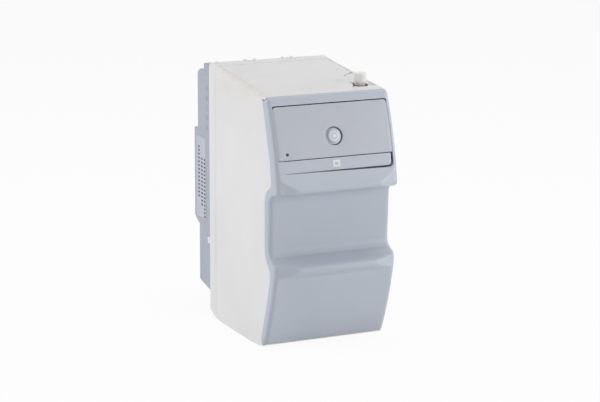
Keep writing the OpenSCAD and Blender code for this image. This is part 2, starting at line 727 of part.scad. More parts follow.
module main_pcb() color([0.08, 0.32, 0.18]) seat() {
    difference() {
        block([-pcb_w / 2, pcb_w / 2], [pcb_y, pcb_y + 1.6], pcb_z);
        for (sx = [-1, 1], z = [pcb_z[0] + 6, pcb_z[1] - 6])
            translate([sx * (pcb_w / 2 - 5), 0, z]) y_rod(pcb_y - 1, pcb_y + 3, 1.6);
    }
}

module pcb_screws() color([0.72, 0.72, 0.74]) seat() {
    for (sx = [-1, 1], z = [pcb_z[0] + 6, pcb_z[1] - 6])
        translate([sx * (pcb_w / 2 - 5), pcb_y, z]) mirror([0, 1, 0]) screw(1.25, 6.5, 2.8, 1.8);
}

module transformer_core() color([0.30, 0.30, 0.32]) seat() {
    difference() {
        block([-38 * wide, -38 * wide + 36], [pcb_y - 28, pcb_y - 4], [128 * tall, 128 * tall + 30]);
        block([-38 * wide + 6, -38 * wide + 30], [pcb_y - 40, pcb_y + 5], [128 * tall + 6, 128 * tall + 24]);
    }
    block([-38 * wide + 13, -38 * wide + 23], [pcb_y - 28, pcb_y - 4], [128 * tall + 5, 128 * tall + 25]);
}

module transformer_coil() color([0.80, 0.68, 0.30]) seat() {
    difference() {
        block([-38 * wide + 6.3, -38 * wide + 29.7], [pcb_y - 31, pcb_y], [128 * tall + 6.3, 128 * tall + 23.7]);
        block([-38 * wide + 12.8, -38 * wide + 23.2], [pcb_y - 40, pcb_y - 2], [128 * tall, 128 * tall + 30]);
    }
}

module capacitors() color([0.15, 0.17, 0.30]) seat() {
    for (x = [8, 26]) translate([x * wide, 0, 142 * tall]) difference() {
        y_rod(pcb_y - 25, pcb_y, 6.5);
        translate([0, pcb_y - 2.6, 0]) rotate([-90, 0, 0]) rotate_extrude() translate([6.7, 0]) circle(0.6, $fn = 16);
    }
}

module film_capacitor() color([0.75, 0.60, 0.20]) seat() {
    block([6 * wide, 6 * wide + 26], [pcb_y - 17, pcb_y], [112 * tall, 112 * tall + 9]);
}

module varistor() color([0.20, 0.35, 0.60]) seat() {
    translate([-33 * wide, pcb_y - 11, 112 * tall]) {
        x_rod(-2.4, 2.4, 7);
        for (s = [-1, 1]) translate([0, 0, 3.5 * s]) y_rod(5, 11, 0.5);
    }
}

module microcontroller() color([0.08, 0.08, 0.09]) seat() {
    block([-18 * wide, -18 * wide + 14], [pcb_y - 1.7, pcb_y - 0.2], [94 * tall, 94 * tall + 14]);
    for (i = [0:9]) {
        block([-18 * wide - 1, -18 * wide + 15], [pcb_y - 0.5, pcb_y], [94 * tall + 1 + i * 1.3, 94 * tall + 1.5 + i * 1.3]);
    }
}

module crystal() color([0.78, 0.78, 0.80]) seat() {
    along(pcb_y - 3.6, pcb_y) translate([4 * wide, 98 * tall]) rounded_plate(10.5, 4.4, 2);
}

module pcb_header() color([0.90, 0.88, 0.82]) seat() {
    difference() {
        block([-1, 21], [pcb_y - 9, pcb_y], [168 * tall, 168 * tall + 6.4]);
        block([0.4, 19.6], [pcb_y - 10, pcb_y - 2], [168 * tall + 1.2, 168 * tall + 5.2]);
    }
}

module relay_case() color([0.88, 0.88, 0.86]) seat() {
    difference() {
        block([-36 * wide, -36 * wide + 36], [plate_y - 46, plate_y - 14], [19 * tall + 2, 19 * tall + 38]);
        block([-36 * wide + 3, -36 * wide + 33], [plate_y - 47, plate_y - 45], [19 * tall + 6, 19 * tall + 30]);
    }
}

module relay_links() color([0.80, 0.48, 0.30]) seat() {
    for (i = [-1.5, -0.5])
        block([i * block_pitch - 1, i * block_pitch + 1], [plate_y - 14, plate_y - 6.1], [47 * tall, 47 * tall + 8]);
}

module shunt() color([0.70, 0.60, 0.50]) seat() {
    difference() {
        block([0.5 * block_pitch - 1, 1.5 * block_pitch + 1], [plate_y - 20, plate_y - 6.1], [47 * tall, 47 * tall + 8]);
        block([0.5 * block_pitch + 1, 1.5 * block_pitch - 1], [plate_y - 18, plate_y], [46 * tall, 47 * tall + 9]);
    }
}

module contact_blades() color([0.80, 0.62, 0.35]) seat() {
    for (i = [-1.5, -0.5, 0.5, 1.5])
        block([i * block_pitch - 1, i * block_pitch + 1], [plate_y - 6, hood_d + 13], [45 * tall, 45 * tall + 12]);
}

module contact_jaws() color([0.82, 0.60, 0.40]) seat() {
    for (i = [-1.5, -0.5, 0.5, 1.5]) translate([i * block_pitch, 0, 0]) difference() {
        block([-2.6, 2.6], [hood_d + 3.5, hood_d + 16.5], [43.5 * tall, 43.5 * tall + 17]);
        block([-1.05, 1.05], [hood_d + 2, hood_d + 14], [42 * tall, 43.5 * tall + 20]);
    }
}

// ---- terminals in the base ----

module terminal_block() color([0.16, 0.16, 0.17]) seat() {
    z0 = base_foot + 9;
    top = 76 * tall;
    block([-2 * block_pitch - 1, 2 * block_pitch + 1], [step_back - 4.7, step_back - 2.7], [z0, top]);
    for (i = [-2, -1, 0, 1, 2])
        block([i * block_pitch - 1, i * block_pitch + 1], [hood_d + 4.5, step_back - 3], [z0, top]);
}

module terminal_clamps() color([0.80, 0.66, 0.35]) seat() {
    cy = hood_d + 11.4;
    for (i = [-1.5, -0.5, 0.5, 1.5]) translate([i * block_pitch, 0, 0]) difference() {
        block([-6.6, 6.6], [hood_d + 3, hood_d + 17], [base_foot + 4, 43.4 * tall]);
        translate([0, cy, base_foot]) cylinder(h = 41.9 * tall - base_foot, r = cable_bore_r);
        translate([0, 0, clamp_z]) y_rod(hood_d + 2, cy, 2.55);
    }
}

module terminal_screws() color([0.72, 0.72, 0.74]) seat() {
    for (i = [-1.5, -0.5, 0.5, 1.5]) translate([i * block_pitch, 0, clamp_z]) difference() {
        y_rod(hood_d + 2.4, hood_d + 11.4 - cable_bore_r - 1, 2.5);
        block([-2, 2], [hood_d + 2, hood_d + 3], [-0.4, 0.4]);
    }
}

module hood_screws() color([0.72, 0.72, 0.74]) seat() {
    for (sx = [-1, 1]) {
        translate([sx * screw_x, step_back, 40 * tall]) screw(1.4, 13, 3, 2);
        translate([sx * screw_x, step_back + upper_step, 182 * tall]) screw(1.4, 15, 3, 2);
    }
}

module hood_clip() color([0.90, 0.89, 0.88]) seat() {
    block([-half_w + 0.1, -half_w + 1.9], [hood_d, hood_d + 5], [61 * tall, 67 * tall]);
}

label_y = step_back - 14;
label_z = 80 * tall;

module rating_label() color([0.80, 0.81, 0.82]) seat() {
    block([-half_w + 0.1, -half_w + 0.3], [label_y, base_back - 4.5], [label_z, 148 * tall]);
}

module label_print() color([0.15, 0.15, 0.17]) seat() {
    // three columns of short bars: [first y, width, first bar, last bar]
    for (column = [[1, 3, 0, 15], [6.6, 3.2, 3, 15], [12.6, 3.6, 5, 18]], i = [column[2]:column[3]])
        block([-half_w + 0.04, -half_w + 0.1], [label_y + column[0], label_y + column[0] + column[1]],
              [label_z + 1 + 3.2 * i * tall, label_z + 2.4 + 3.2 * i * tall]);
}

hood();
fascia();
rear_base();
door();
door_hinge_pins();
led_lens();
push_button();
button_mark();
latch_tongue();
latch_mark();
top_lid();
lid_hinge_pins();
lid_magnet();
seal_post();
seal_cam();
service_tray();
battery_well();
battery();
battery_clips();
reed_sensor();
bezel();
lcd_frame();
lcd_glass();
front_pcb();
tact_switch();
card_reader();
optical_port();
ribbon_cable();
chassis();
main_pcb();
pcb_screws();
transformer_core();
transformer_coil();
capacitors();
film_capacitor();
varistor();
microcontroller();
crystal();
pcb_header();
relay_case();
relay_links();
shunt();
contact_blades();
contact_jaws();
terminal_block();
terminal_clamps();
terminal_screws();
hood_screws();
hood_clip();
rating_label();
label_print();
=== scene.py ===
"""Looks for a prepaid electricity meter: satin off-white hood and service lid, blue-grey stepped
fascia with a flip-up door, press-down latch strip, ribbed seal post and grey terminal base.

Sizes are millimetres in the fascia's datum, where y = 0 is its top front edge, x = 0 the middle
and z = 0 the hood's foot. place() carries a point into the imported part's frame in metres.
"""

import json
import math

import bmesh
import bpy
import numpy as np
from mathutils import Matrix, Vector
from mathutils.geometry import delaunay_2d_cdt


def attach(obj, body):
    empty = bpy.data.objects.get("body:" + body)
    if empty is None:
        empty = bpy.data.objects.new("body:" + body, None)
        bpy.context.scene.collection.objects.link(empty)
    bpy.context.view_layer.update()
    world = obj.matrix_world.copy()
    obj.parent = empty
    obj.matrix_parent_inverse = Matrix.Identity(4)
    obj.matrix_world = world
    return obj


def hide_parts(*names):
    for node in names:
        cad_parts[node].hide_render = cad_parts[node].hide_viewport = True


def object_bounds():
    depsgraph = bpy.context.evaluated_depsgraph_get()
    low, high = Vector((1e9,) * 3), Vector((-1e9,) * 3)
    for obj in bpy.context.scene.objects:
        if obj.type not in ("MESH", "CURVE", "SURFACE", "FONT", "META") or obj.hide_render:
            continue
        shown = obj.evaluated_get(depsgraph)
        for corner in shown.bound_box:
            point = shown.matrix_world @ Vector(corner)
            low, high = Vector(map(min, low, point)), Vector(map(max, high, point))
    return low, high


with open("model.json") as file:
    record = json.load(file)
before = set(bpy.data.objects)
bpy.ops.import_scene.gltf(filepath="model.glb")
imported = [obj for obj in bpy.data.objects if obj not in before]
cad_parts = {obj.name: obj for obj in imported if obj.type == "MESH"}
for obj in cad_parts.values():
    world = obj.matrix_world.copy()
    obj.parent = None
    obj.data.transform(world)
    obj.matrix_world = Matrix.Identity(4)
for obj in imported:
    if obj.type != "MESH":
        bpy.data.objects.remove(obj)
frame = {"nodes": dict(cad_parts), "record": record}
CAD_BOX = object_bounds()

# ---- driving sizes, the same as the CAD part's ----
MM = 0.001
HALF_W = 52.5
SIDE_X = HALF_W - 0.3
FASCIA_X = HALF_W - 0.2
WALL = 2.2
LIP_REACH = 24.0
HOOD_BACK = 112.0
BODY_H = 212.0
ROOF_SLOPE = math.tan(math.radians(5.8))
ROOF_FRONT = BODY_H - HOOD_BACK * ROOF_SLOPE
SEAM = 0.4
SHIFT = -CAD_BOX[0].y / MM - LIP_REACH
POST_X, POST_Y, POST_R = 38.2, 21.0, 5.4
LID_HALF, LID_FRONT, LID_BACK = HALF_W - 4.6, 12.7, HOOD_BACK - 12
LID_PIN_Y = LID_BACK - 3
DOOR_HALF, DOOR_FOOT, DOOR_TOP = HALF_W - 4.1, 153.8, 193.2
DOOR_GAP = 0.8
LATCH_LEFT, LATCH_RIGHT, LATCH_FOOT, LATCH_TOP = -42.0, 46.9, 143.9, 153.3
BUTTON_Z, BUTTON_R = 169.4, 6.6
LED_X, LED_Z = -41.1, 158.2
MARK_Z = 148.9
PAD_DROP, PAD_GAP = 0.9, 1.2
RIB_XS = (-46.6, -21.4, -13, 12, 19.9)


def roof_z(y):
    return ROOF_FRONT + y * ROOF_SLOPE


def place(x, y, z):
    return (x * MM, (y - SHIFT) * MM, z * MM)


# ---- plane curves ----


def arc(centre, radius, start, end, steps):
    """Points on a circle from start to end degrees."""
    angles = np.radians(np.linspace(start, end, steps + 1))
    return [(centre[0] + radius * math.cos(a), centre[1] + radius * math.sin(a)) for a in angles]


def rounded_rect(x0, x1, y0, y1, low_r, top_r, steps=8):
    """Counter-clockwise rectangle; the two low corners have low_r and the two top ones top_r."""
    return (
        arc((x0 + low_r, y0 + low_r), low_r, 180, 270, steps)
        + arc((x1 - low_r, y0 + low_r), low_r, 270, 360, steps)
        + arc((x1 - top_r, y1 - top_r), top_r, 0, 90, steps)
        + arc((x0 + top_r, y1 - top_r), top_r, 90, 180, steps)
    )


def circle(centre, radius, steps=48):
    return arc(centre, radius, 0, 360, steps)[:-1]


def dense(path, step):
    """The path with points added so that none are further apart than step."""
    out = [path[0]]
    for a, b in zip(path, path[1:]):
        n = max(1, math.ceil(math.dist(a, b) / step))
        out += [tuple(np.array(a) + (np.array(b) - a) * i / n) for i in range(1, n + 1)]
    return out


def dense_loop(loop, step):
    return dense(list(loop) + [loop[0]], step)[:-1]


def softened(path, step, width):
    """The path resampled evenly and rounded by a moving Gaussian of that width; ends stay."""
    pts = np.array(dense(path, step / 3))
    along = np.concatenate([[0], np.cumsum(np.linalg.norm(np.diff(pts, axis=0), axis=1))])
    s = np.linspace(0, along[-1], int(along[-1] / step) + 1)
    even = np.stack([np.interp(s, along, pts[:, k]) for k in (0, 1)], 1)
    reach = int(3 * width / step)
    weights = np.exp(-0.5 * (np.arange(-reach, reach + 1) * step / width) ** 2)
    weights /= weights.sum()
    padded = np.concatenate([
        2 * even[0] - even[reach:0:-1], even, 2 * even[-1] - even[-2 : -reach - 2 : -1]])
    return np.stack([np.convolve(padded[:, k], weights, "valid") for k in (0, 1)], 1)


def bulge(p, q, sag):
    """Radius and centre of the arc from p down to q that stands sag proud to the left."""
    p, q = np.array(p, float), np.array(q, float)
    length = np.linalg.norm(q - p)
    radius = (length**2 / 4 + sag**2) / (2 * sag)
    u = (q - p) / length
    return radius, (p + q) / 2 - np.array([u[1], -u[0]]) * (radius - sag)


def bulge_points(p, q, sag, steps):
    radius, centre = bulge(p, q, sag)
    start = math.atan2(p[1] - centre[1], p[0] - centre[0])
    half = math.asin(math.dist(p, q) / 2 / radius)
    return [
        tuple(centre + radius * np.array([math.cos(start + t), math.sin(start + t)]))
        for t in np.linspace(0, 2 * half, steps + 1)
    ]


# ---- the front section, [y, z] from the top down ----
FACE_TOP, FACE_NOSE, FACE_SAG = (0.0, ROOF_FRONT - 0.1), (-20.5, 128.7), 2.9
FACE_R, FACE_C = bulge(FACE_TOP, FACE_NOSE, FACE_SAG)
RECESS = [
    (-11.6, 125.8), (-9.2, 124.7), (-7.3, 122.9), (-6.3, 120.5), (-6, 104),
    (-5, 84), (-5, 81.5), (-6, 78.5), (-8.3, 75.6), (-11.8, 73.3),
]
FACE_PATH = (
    bulge_points(FACE_TOP, FACE_NOSE, FACE_SAG, 30)
    + RECESS
    + bulge_points((-17.3, 70.2), (1.7, 8), 2.2, 20)
    + [(2.8, 5.4), (4.6, 3.6)]
)
HOOD_EDGE = [
    (7.5, ROOF_FRONT - WALL), (4.5, 190.2), (-1.1, 170.5), (-6.8, 152.5), (-9.6, 134.7),
    (-7, 130.6), (-2, 128.4), (1.4, 123.5), (2.5, 118.2), (2.4, 81.5), (1.2, 76), (-1.1, 71.9),
    (-4.6, 68.4), (-7.4, 64.6), (-7.2, 58), (-6.2, 53.6), (-3.2, 43), (2.8, 25.2), (8.5, 9.2),
    (9.4, 5.6),
]
UPPER_LIP = [
    (-14, 149), (-17.2, 146), (-18.9, 141.5), (-20.7, 137.4), (-22.6, 133.6), (-24.1, 131.4),
    (-24.2, 129.6), (-23.2, 128.3), (-20.6, 127.7), (-12, 126.3), (-6, 125.5),
]
LOWER_LIP = [
    (-5, 77), (-9.5, 75.4), (-14.5, 72.6), (-19.2, 70.8), (-21.4, 69.6), (-22.4, 68),
    (-22, 66.2), (-20.8, 64.4), (-18.6, 62.6), (-15, 60), (-9, 56),
]
LIPS = [
    # section, crest, full-depth half width, half width at the slanted ends, fall there
    (UPPER_LIP, -24.0, 35.0, 51.0, 5.0),
    (LOWER_LIP, -22.3, 33.0, 51.0, 6.0),
]

face_line = softened(FACE_PATH, 0.25, 0.7)
face_s = np.concatenate([[0], np.cumsum(np.linalg.norm(np.diff(face_line, axis=0), axis=1))])
edge_line = softened(HOOD_EDGE, 0.5, 0.9)


def up_face(z):
    """Distance up the softened front section, negative from its top edge, at height z."""
    return -float(np.interp(-z, -face_line[:, 1], face_s))


def face_height(v):
    return float(np.interp(-v, face_s, face_line[:, 1]))


def soft_min(a, b, k):
    low = min(a, b)
    return low - k * math.log(math.exp((low - a) / k) + math.exp((low - b) / k))


class Lip:
    def __init__(self, section, crest, full_x, end_x, fall):
        self.line = softened(section, 0.25, 0.6)
        self.crest, self.full_x, self.slope = crest, full_x, fall / (end_x - full_x)

    def y(self, x, z):
        """Front of the lip at (x, z), or far behind where there is none."""
        if not self.line[-1, 1] < z < self.line[0, 1]:
            return 60.0
        section = float(np.interp(-z, -self.line[:, 1], self.line[:, 0]))
        cut = self.crest + max(0.0, abs(x) - self.full_x) * self.slope
        return -soft_min(-section, -cut, 0.25)


lips = [Lip(*lip) for lip in LIPS]


def face_front(x, z):
    y = float(np.interp(-z, -face_line[:, 1], face_line[:, 0]))
    for lip in lips:
        y = soft_min(y, lip.y(x, z), 0.3)
    return y


def hood_edge_y(z):
    return float(np.interp(-z, -edge_line[:, 1], edge_line[:, 0]))


# ---- surfaces: (u, v, depth) to a point ----


def on_fascia(u, v, depth):
    z = face_height(v)
    return (u, face_front(u, z) + depth, z)


def lean(z):
    return math.asin((z - FACE_C[1]) / FACE_R)


def on_arc(u, v, depth):
    """On the upper panel's plain arc; v is the distance up it."""
    a, r = v / FACE_R, FACE_R - depth
    return (u, FACE_C[0] - r * math.cos(a), FACE_C[1] + r * math.sin(a))


def up_arc(z):
    return FACE_R * lean(z)


def facing(z, x=0.0):
    """Seat for turned shapes that look out of the upper panel at height z."""
    a = lean(z)
    y0 = FACE_C[0] - FACE_R * math.cos(a)

    def seat(p, q, depth):
        return (x + p, y0 + depth * math.cos(a) + q * math.sin(a), z + q * math.cos(a) - depth * math.sin(a))

    return seat


def lengthwise(y, z):
    """Seat for rods along X."""
    return lambda p, q, along: (along, y + p, z + q)


def upright(x, y):
    """Seat for turned shapes that stand up."""
    return lambda p, q, height: (x + p, y + q, height)


# ---- mesh building ----


def offset_loop(loop, distance):
    """The loop moved to its left by distance, one value or one for each point, corners mitred."""
    pts = np.array(loop, float)
    ahead = np.roll(pts, -1, 0) - pts
    ahead /= np.linalg.norm(ahead, axis=1)[:, None]
    left = np.stack([-ahead[:, 1], ahead[:, 0]], 1)
    before = np.roll(left, 1, 0)
    mitre = (left + before) / np.maximum(1 + (left * before).sum(1), 0.4)[:, None]
    return pts + mitre * np.reshape(distance, (-1, 1))


def inside(points, loops):
    """Even-odd test of many points against closed loops."""
    x, y = points[:, 0], points[:, 1]
    result = np.zeros(len(points), bool)
    for loop in loops:
        a = np.array(loop, float)
        b = np.roll(a, -1, 0)
        for (ax, ay), (bx, by) in zip(a, b):
            if ay == by:
                continue
            crosses = (ay > y) != (by > y)
            result ^= crosses & (x < (bx - ax) * (y - ay) / (by - ay) + ax)
    return result


SLIVER = 0.01  # least height of a triangle that is kept


def triangulated(loops, columns, rows, clearance):
    """Triangles that fill the loops, on the lattice of columns and rows away from the edges."""
    lattice = np.array([(u, v) for u in columns for v in rows], float).reshape(-1, 2)
    lattice = lattice[inside(lattice, loops)]
    rim = np.concatenate(loops)
    near = np.array([np.min(np.hypot(*(rim - p).T)) < clearance for p in lattice], bool)
    lattice = lattice[~near]
    edges, start = [], 0
    for loop in loops:
        n = len(loop)
        edges += [(start + i, start + (i + 1) % n) for i in range(n)]
        start += n
    points = [Vector(p) for p in np.concatenate([rim, lattice])]
    found = delaunay_2d_cdt(points, edges, [], 0, 1e-5)
    verts = np.array([tuple(p) for p in found[0]])
    corners = np.array([verts[list(f)] for f in found[2]])
    keep = inside(corners.mean(1), loops)
    sides = np.roll(corners, -1, 1) - corners
    area = np.abs(sides[:, 0, 0] * sides[:, 1, 1] - sides[:, 0, 1] * sides[:, 1, 0])
    keep &= area > SLIVER * np.linalg.norm(sides, axis=2).max(1)
    return verts, [f for f, k in zip(found[2], keep) if k]


class Shape:
    """Points and faces gathered for one piece."""

    def __init__(self):
        self.points, self.faces = [], []

    def add(self, points, faces):
        base = len(self.points)
        self.points += [tuple(p) for p in points]
        self.faces += [tuple(base + i for i in f) for f in faces]

    def strip(self, rings):
        n = len(rings[0])
        faces = [
            (k * n + i, k * n + (i + 1) % n, (k + 1) * n + (i + 1) % n, (k + 1) * n + i)
            for k in range(len(rings) - 1)
            for i in range(n)
        ]
        self.add([p for ring in rings for p in ring], faces)

    def turned(self, profile, seat, segments=64, ribs=None):
        """Revolved profile of (radius, along) pairs; ribs(angle, k) scales the radius of row k."""
        rings = []
        for k, (radius, along) in enumerate(profile):
            ring = []
            for i in range(segments):
                a = 2 * math.pi * i / segments
                r = radius * (ribs(a, k) if ribs else 1)
                ring.append(seat(r * math.cos(a), r * math.sin(a), along))
            rings.append(ring)
        self.strip(rings)

    def rod(self, x0, x1, y, z, r, edge=0.3):
        self.turned(
            [(0, x0), (r - edge, x0), (r, x0 + edge), (r, x1 - edge), (r - edge, x1), (0, x1)],
            lengthwise(y, z), 40)

    def block(self, x, y, z, edge=0.4, surface=lambda a, b, c: (a, b, c)):
        """Box with rounded edges."""
        bm = bmesh.new()
        bmesh.ops.create_cube(bm, size=1)
        for v in bm.verts:
            v.co = [lo + (hi - lo) * (c + 0.5) for (lo, hi), c in zip((x, y, z), v.co)]
        bmesh.ops.bevel(bm, geom=bm.edges[:], offset=edge, segments=3, profile=0.5, affect="EDGES")
        bm.verts.index_update()
        self.add([surface(*v.co) for v in bm.verts], [[v.index for v in f.verts] for f in bm.faces])
        bm.free()

    def panel(self, outer, holes, surface, edge, end, columns, rows,
              hole_edge=None, hole_end=None, back=True):
        """A sheet over the outer loop less the holes, with rounded rims that run back to depth end.
        end and hole_end are depths, or functions of (u, v). back closes the rear at that depth."""
        loops = [dense_loop(outer, 2.0)] + [dense_loop(h, 1.2)[::-1] for h in holes]
        face_loops = []
        for k, loop in enumerate(loops):
            radius = edge if k == 0 or hole_edge is None else hole_edge
            radii = np.array([radius(u, v) if callable(radius) else radius for u, v in loop])
            stop = end if k == 0 or hole_end is None else hole_end
            stop_at = stop if callable(stop) else (lambda u, v, d=stop: d)
            inner = offset_loop(loop, radii)
            rings = []
            for phi in np.linspace(0, math.pi / 2, 6):
                ring = offset_loop(loop, radii * (1 - math.sin(phi)))
                depths = radii * (1 - math.cos(phi))
                rings.append([surface(u, v, d) for (u, v), d in zip(ring, depths)])
            rings.append([surface(u, v, stop_at(u, v)) for u, v in loop])
            if back:
                rings.append([surface(u, v, stop_at(u, v)) for u, v in inner])
            self.strip(rings)
            face_loops.append(inner)
        verts, faces = triangulated(face_loops, columns, rows, 0.5)
        self.add([surface(u, v, 0.0) for u, v in verts], faces)
        if back:
            depth = end if not callable(end) else None
            self.add([surface(u, v, depth) for u, v in verts], [f[::-1] for f in faces])

    def piece(self, name, body, finish, replaces=(), sharp=38):
        mesh = bpy.data.meshes.new(name)
        mesh.from_pydata([place(*p) for p in self.points], [], self.faces)
        bm = bmesh.new()
        bm.from_mesh(mesh)
        bmesh.ops.remove_doubles(bm, verts=bm.verts, dist=2e-6)
        bmesh.ops.dissolve_degenerate(bm, edges=bm.edges, dist=1e-7)
        bmesh.ops.recalc_face_normals(bm, faces=bm.faces)
        bm.to_mesh(mesh)
        bm.free()
        mesh.shade_smooth()
        mesh.set_sharp_from_angle(angle=math.radians(sharp))
        obj = bpy.data.objects.new(name, mesh)
        bpy.context.scene.collection.objects.link(obj)
        mesh.materials.append(finish)
        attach(obj, body)
        if replaces:
            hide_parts(*replaces)
        return obj


# ---- materials ----


def srgb(r, g, b):
    def linear(c):
        c /= 255
        return c / 12.92 if c <= 0.04045 else ((c + 0.055) / 1.055) ** 2.4

    return (linear(r), linear(g), linear(b), 1.0)


class Finish:
    """A node material built up from noise layers in object coordinates."""

    def __init__(self, name):
        self.mat = bpy.data.materials.new(name)
        self.mat.use_nodes = True
        self.tree = self.mat.node_tree
        self.shader = self.tree.nodes["Principled BSDF"]
        self.coords = self.tree.nodes.new("ShaderNodeTexCoord").outputs["Object"]

    def node(self, kind, **inputs):
        n = self.tree.nodes.new(kind)
        for key, value in inputs.items():
            self.feed(n.inputs[key.replace("_", " ")], value)
        return n

    def feed(self, socket, value):
        if isinstance(value, bpy.types.NodeSocket):
            self.tree.links.new(value, socket)
        else:
            socket.default_value = value

    def noise(self, scale, detail=3.0, rough=0.5, stretch=None):
        vector = self.coords
        if stretch:
            mapping = self.node("ShaderNodeMapping", Vector=self.coords)
            mapping.inputs["Scale"].default_value = stretch
            vector = mapping.outputs["Vector"]
        n = self.node("ShaderNodeTexNoise", Vector=vector, Scale=scale, Detail=detail, Roughness=rough)
        return n.outputs["Fac"]

    def ranged(self, value, low, high, to_low, to_high):
        n = self.tree.nodes.new("ShaderNodeMapRange")
        self.feed(n.inputs["Value"], value)
        for key, v in zip(("From Min", "From Max", "To Min", "To Max"), (low, high, to_low, to_high)):
            n.inputs[key].default_value = v
        return n.outputs["Result"]

    def maths(self, operation, a, b):
        n = self.tree.nodes.new("ShaderNodeMath")
        n.operation = operation
        self.feed(n.inputs[0], a)
        self.feed(n.inputs[1], b)
        return n.outputs[0]

    def mix(self, factor, a, b):
        n = self.tree.nodes.new("ShaderNodeMix")
        n.data_type = "RGBA"
        self.feed(n.inputs["Factor"], factor)
        self.feed(n.inputs["A"], a)
        self.feed(n.inputs["B"], b)
        return n.outputs["Result"]

    def axis(self, which):
        return self.node("ShaderNodeSeparateXYZ", Vector=self.coords).outputs[which]

    def near(self, point, full, none):
        """1 within full metres of the point in plan, falling to 0 at none."""
        flat = self.tree.nodes.new("ShaderNodeVectorMath")
        flat.operation = "MULTIPLY"
        self.feed(flat.inputs[0], self.coords)
        flat.inputs[1].default_value = (1, 1, 0)
        gap = self.tree.nodes.new("ShaderNodeVectorMath")
        gap.operation = "DISTANCE"
        self.feed(gap.inputs[0], flat.outputs["Vector"])
        gap.inputs[1].default_value = (point[0], point[1], 0)
        return self.ranged(gap.outputs["Value"], full, none, 1.0, 0.0)

    def bump(self, height, strength, distance):
        n = self.node("ShaderNodeBump", Height=height, Strength=strength, Distance=distance)
        self.feed(self.shader.inputs["Normal"], n.outputs["Normal"])


def moulded(name, colour, rough=0.42, grain=1500.0, relief=0.10, spread=0.035, specular=0.4, extra=None):
    """Injection-moulded plastic: spark-eroded grain, slow colour drift, faint handling marks and
    edges rubbed a little lighter. extra(finish, colour socket) may add local dirt, painted shade or tint."""
    f = Finish(name)
    base = srgb(*colour)
    darker = tuple(c * (1 - spread) for c in base[:3]) + (1.0,)
    lighter = tuple(min(1, c * (1 + spread * 0.6)) for c in base[:3]) + (1.0,)
    tone = f.mix(f.ranged(f.noise(14.0, 4.0), 0.3, 0.7, 0.0, 1.0), darker, lighter)
    specks = f.ranged(f.noise(420.0, 2.0), 0.66, 0.74, 0.0, 0.22)
    tone = f.mix(specks, tone, tuple(c * 0.90 for c in base[:3]) + (1.0,))
    point = f.tree.nodes.new("ShaderNodeNewGeometry").outputs["Pointiness"]
    worn = tuple(min(1, c * 1.12) for c in base[:3]) + (1.0,)
    tone = f.mix(f.ranged(point, 0.53, 0.62, 0.0, 0.35), tone, worn)
    if extra:
        tone = extra(f, tone)
    f.feed(f.shader.inputs["Base Color"], tone)
    smear = f.noise(60.0, 3.0, stretch=(1.0, 1.0, 0.35))
    f.feed(f.shader.inputs["Roughness"], f.ranged(smear, 0.3, 0.7, rough - 0.06, rough + 0.08))
    f.shader.inputs["Specular IOR Level"].default_value = specular
    f.bump(f.maths("ADD", f.noise(grain, 2.0), f.maths("MULTIPLY", f.noise(90.0, 2.0), 0.5)), relief, 0.0002)
    return f.mat


def metal(name, colour, rough=0.3, grain=(1.0, 1.0, 18.0), tarnish=0.25):
    """Brushed or drawn metal with a little tarnish."""
    f = Finish(name)
    base = srgb(*colour)
    stain = tuple(c * 0.55 for c in base[:3]) + (1.0,)
    tone = f.mix(f.ranged(f.noise(130.0, 5.0), 0.45, 0.75, 0.0, tarnish), base, stain)
    f.feed(f.shader.inputs["Base Color"], tone)
    lines = f.noise(900.0, 2.0, stretch=grain)
    f.feed(f.shader.inputs["Roughness"], f.ranged(lines, 0.3, 0.7, rough - 0.08, rough + 0.1))
    f.shader.inputs["Metallic"].default_value = 1.0
    f.bump(lines, 0.08, 0.0001)
    return f.mat


def glazed(name, colour, rough=0.08, coat=0.4):
    """Polished translucent plastic or glass, seen as a dark tinted window."""
    f = Finish(name)
    base = srgb(*colour)
    lighter = tuple(c * 1.25 for c in base[:3]) + (1.0,)
    tone = f.mix(f.ranged(f.noise(220.0, 3.0), 0.4, 0.7, 0.0, 0.5), base, lighter)
    f.feed(f.shader.inputs["Base Color"], tone)
    f.feed(f.shader.inputs["Roughness"], f.ranged(f.noise(300.0, 4.0), 0.4, 0.8, rough, rough + 0.12))
    f.shader.inputs["Coat Weight"].default_value = coat
    f.bump(f.noise(500.0, 1.0), 0.02, 0.0001)
    return f.mat


def post_grime_shade_and_yellowing(f, tone):
    """Brown ring round the seal post, partly dirt and partly painted shade in its pocket, and yellowing
    along the roof's left edge.
    """
    # painted shade: the brown ring is partly dirt and partly shade painted into the gap round the post and
    # under the lid's pocket edge
    ring = f.near((POST_X * MM, (POST_Y - SHIFT) * MM), 0.0066, 0.0105)
    ring = f.maths("MULTIPLY", ring, f.ranged(f.noise(320.0, 5.0, 0.65), 0.44, 0.62, 0.0, 1.0))
    low = f.ranged(f.axis("Z"), 0.2025, 0.2055, 1.0, 0.0)
    ring = f.maths("MULTIPLY", ring, low)
    tone = f.mix(f.maths("MULTIPLY", ring, 0.5), tone, srgb(150, 122, 92))
    left = f.ranged(f.axis("X"), -0.0525, -0.040, 1.0, 0.0)
    high = f.ranged(f.axis("Z"), 0.188, 0.199, 0.0, 1.0)
    patch = f.ranged(f.noise(35.0, 3.0), 0.35, 0.65, 0.2, 1.0)
    sun = f.maths("MULTIPLY", f.maths("MULTIPLY", left, high), patch)
    return f.mix(f.maths("MULTIPLY", sun, 0.35), tone, srgb(222, 214, 190))


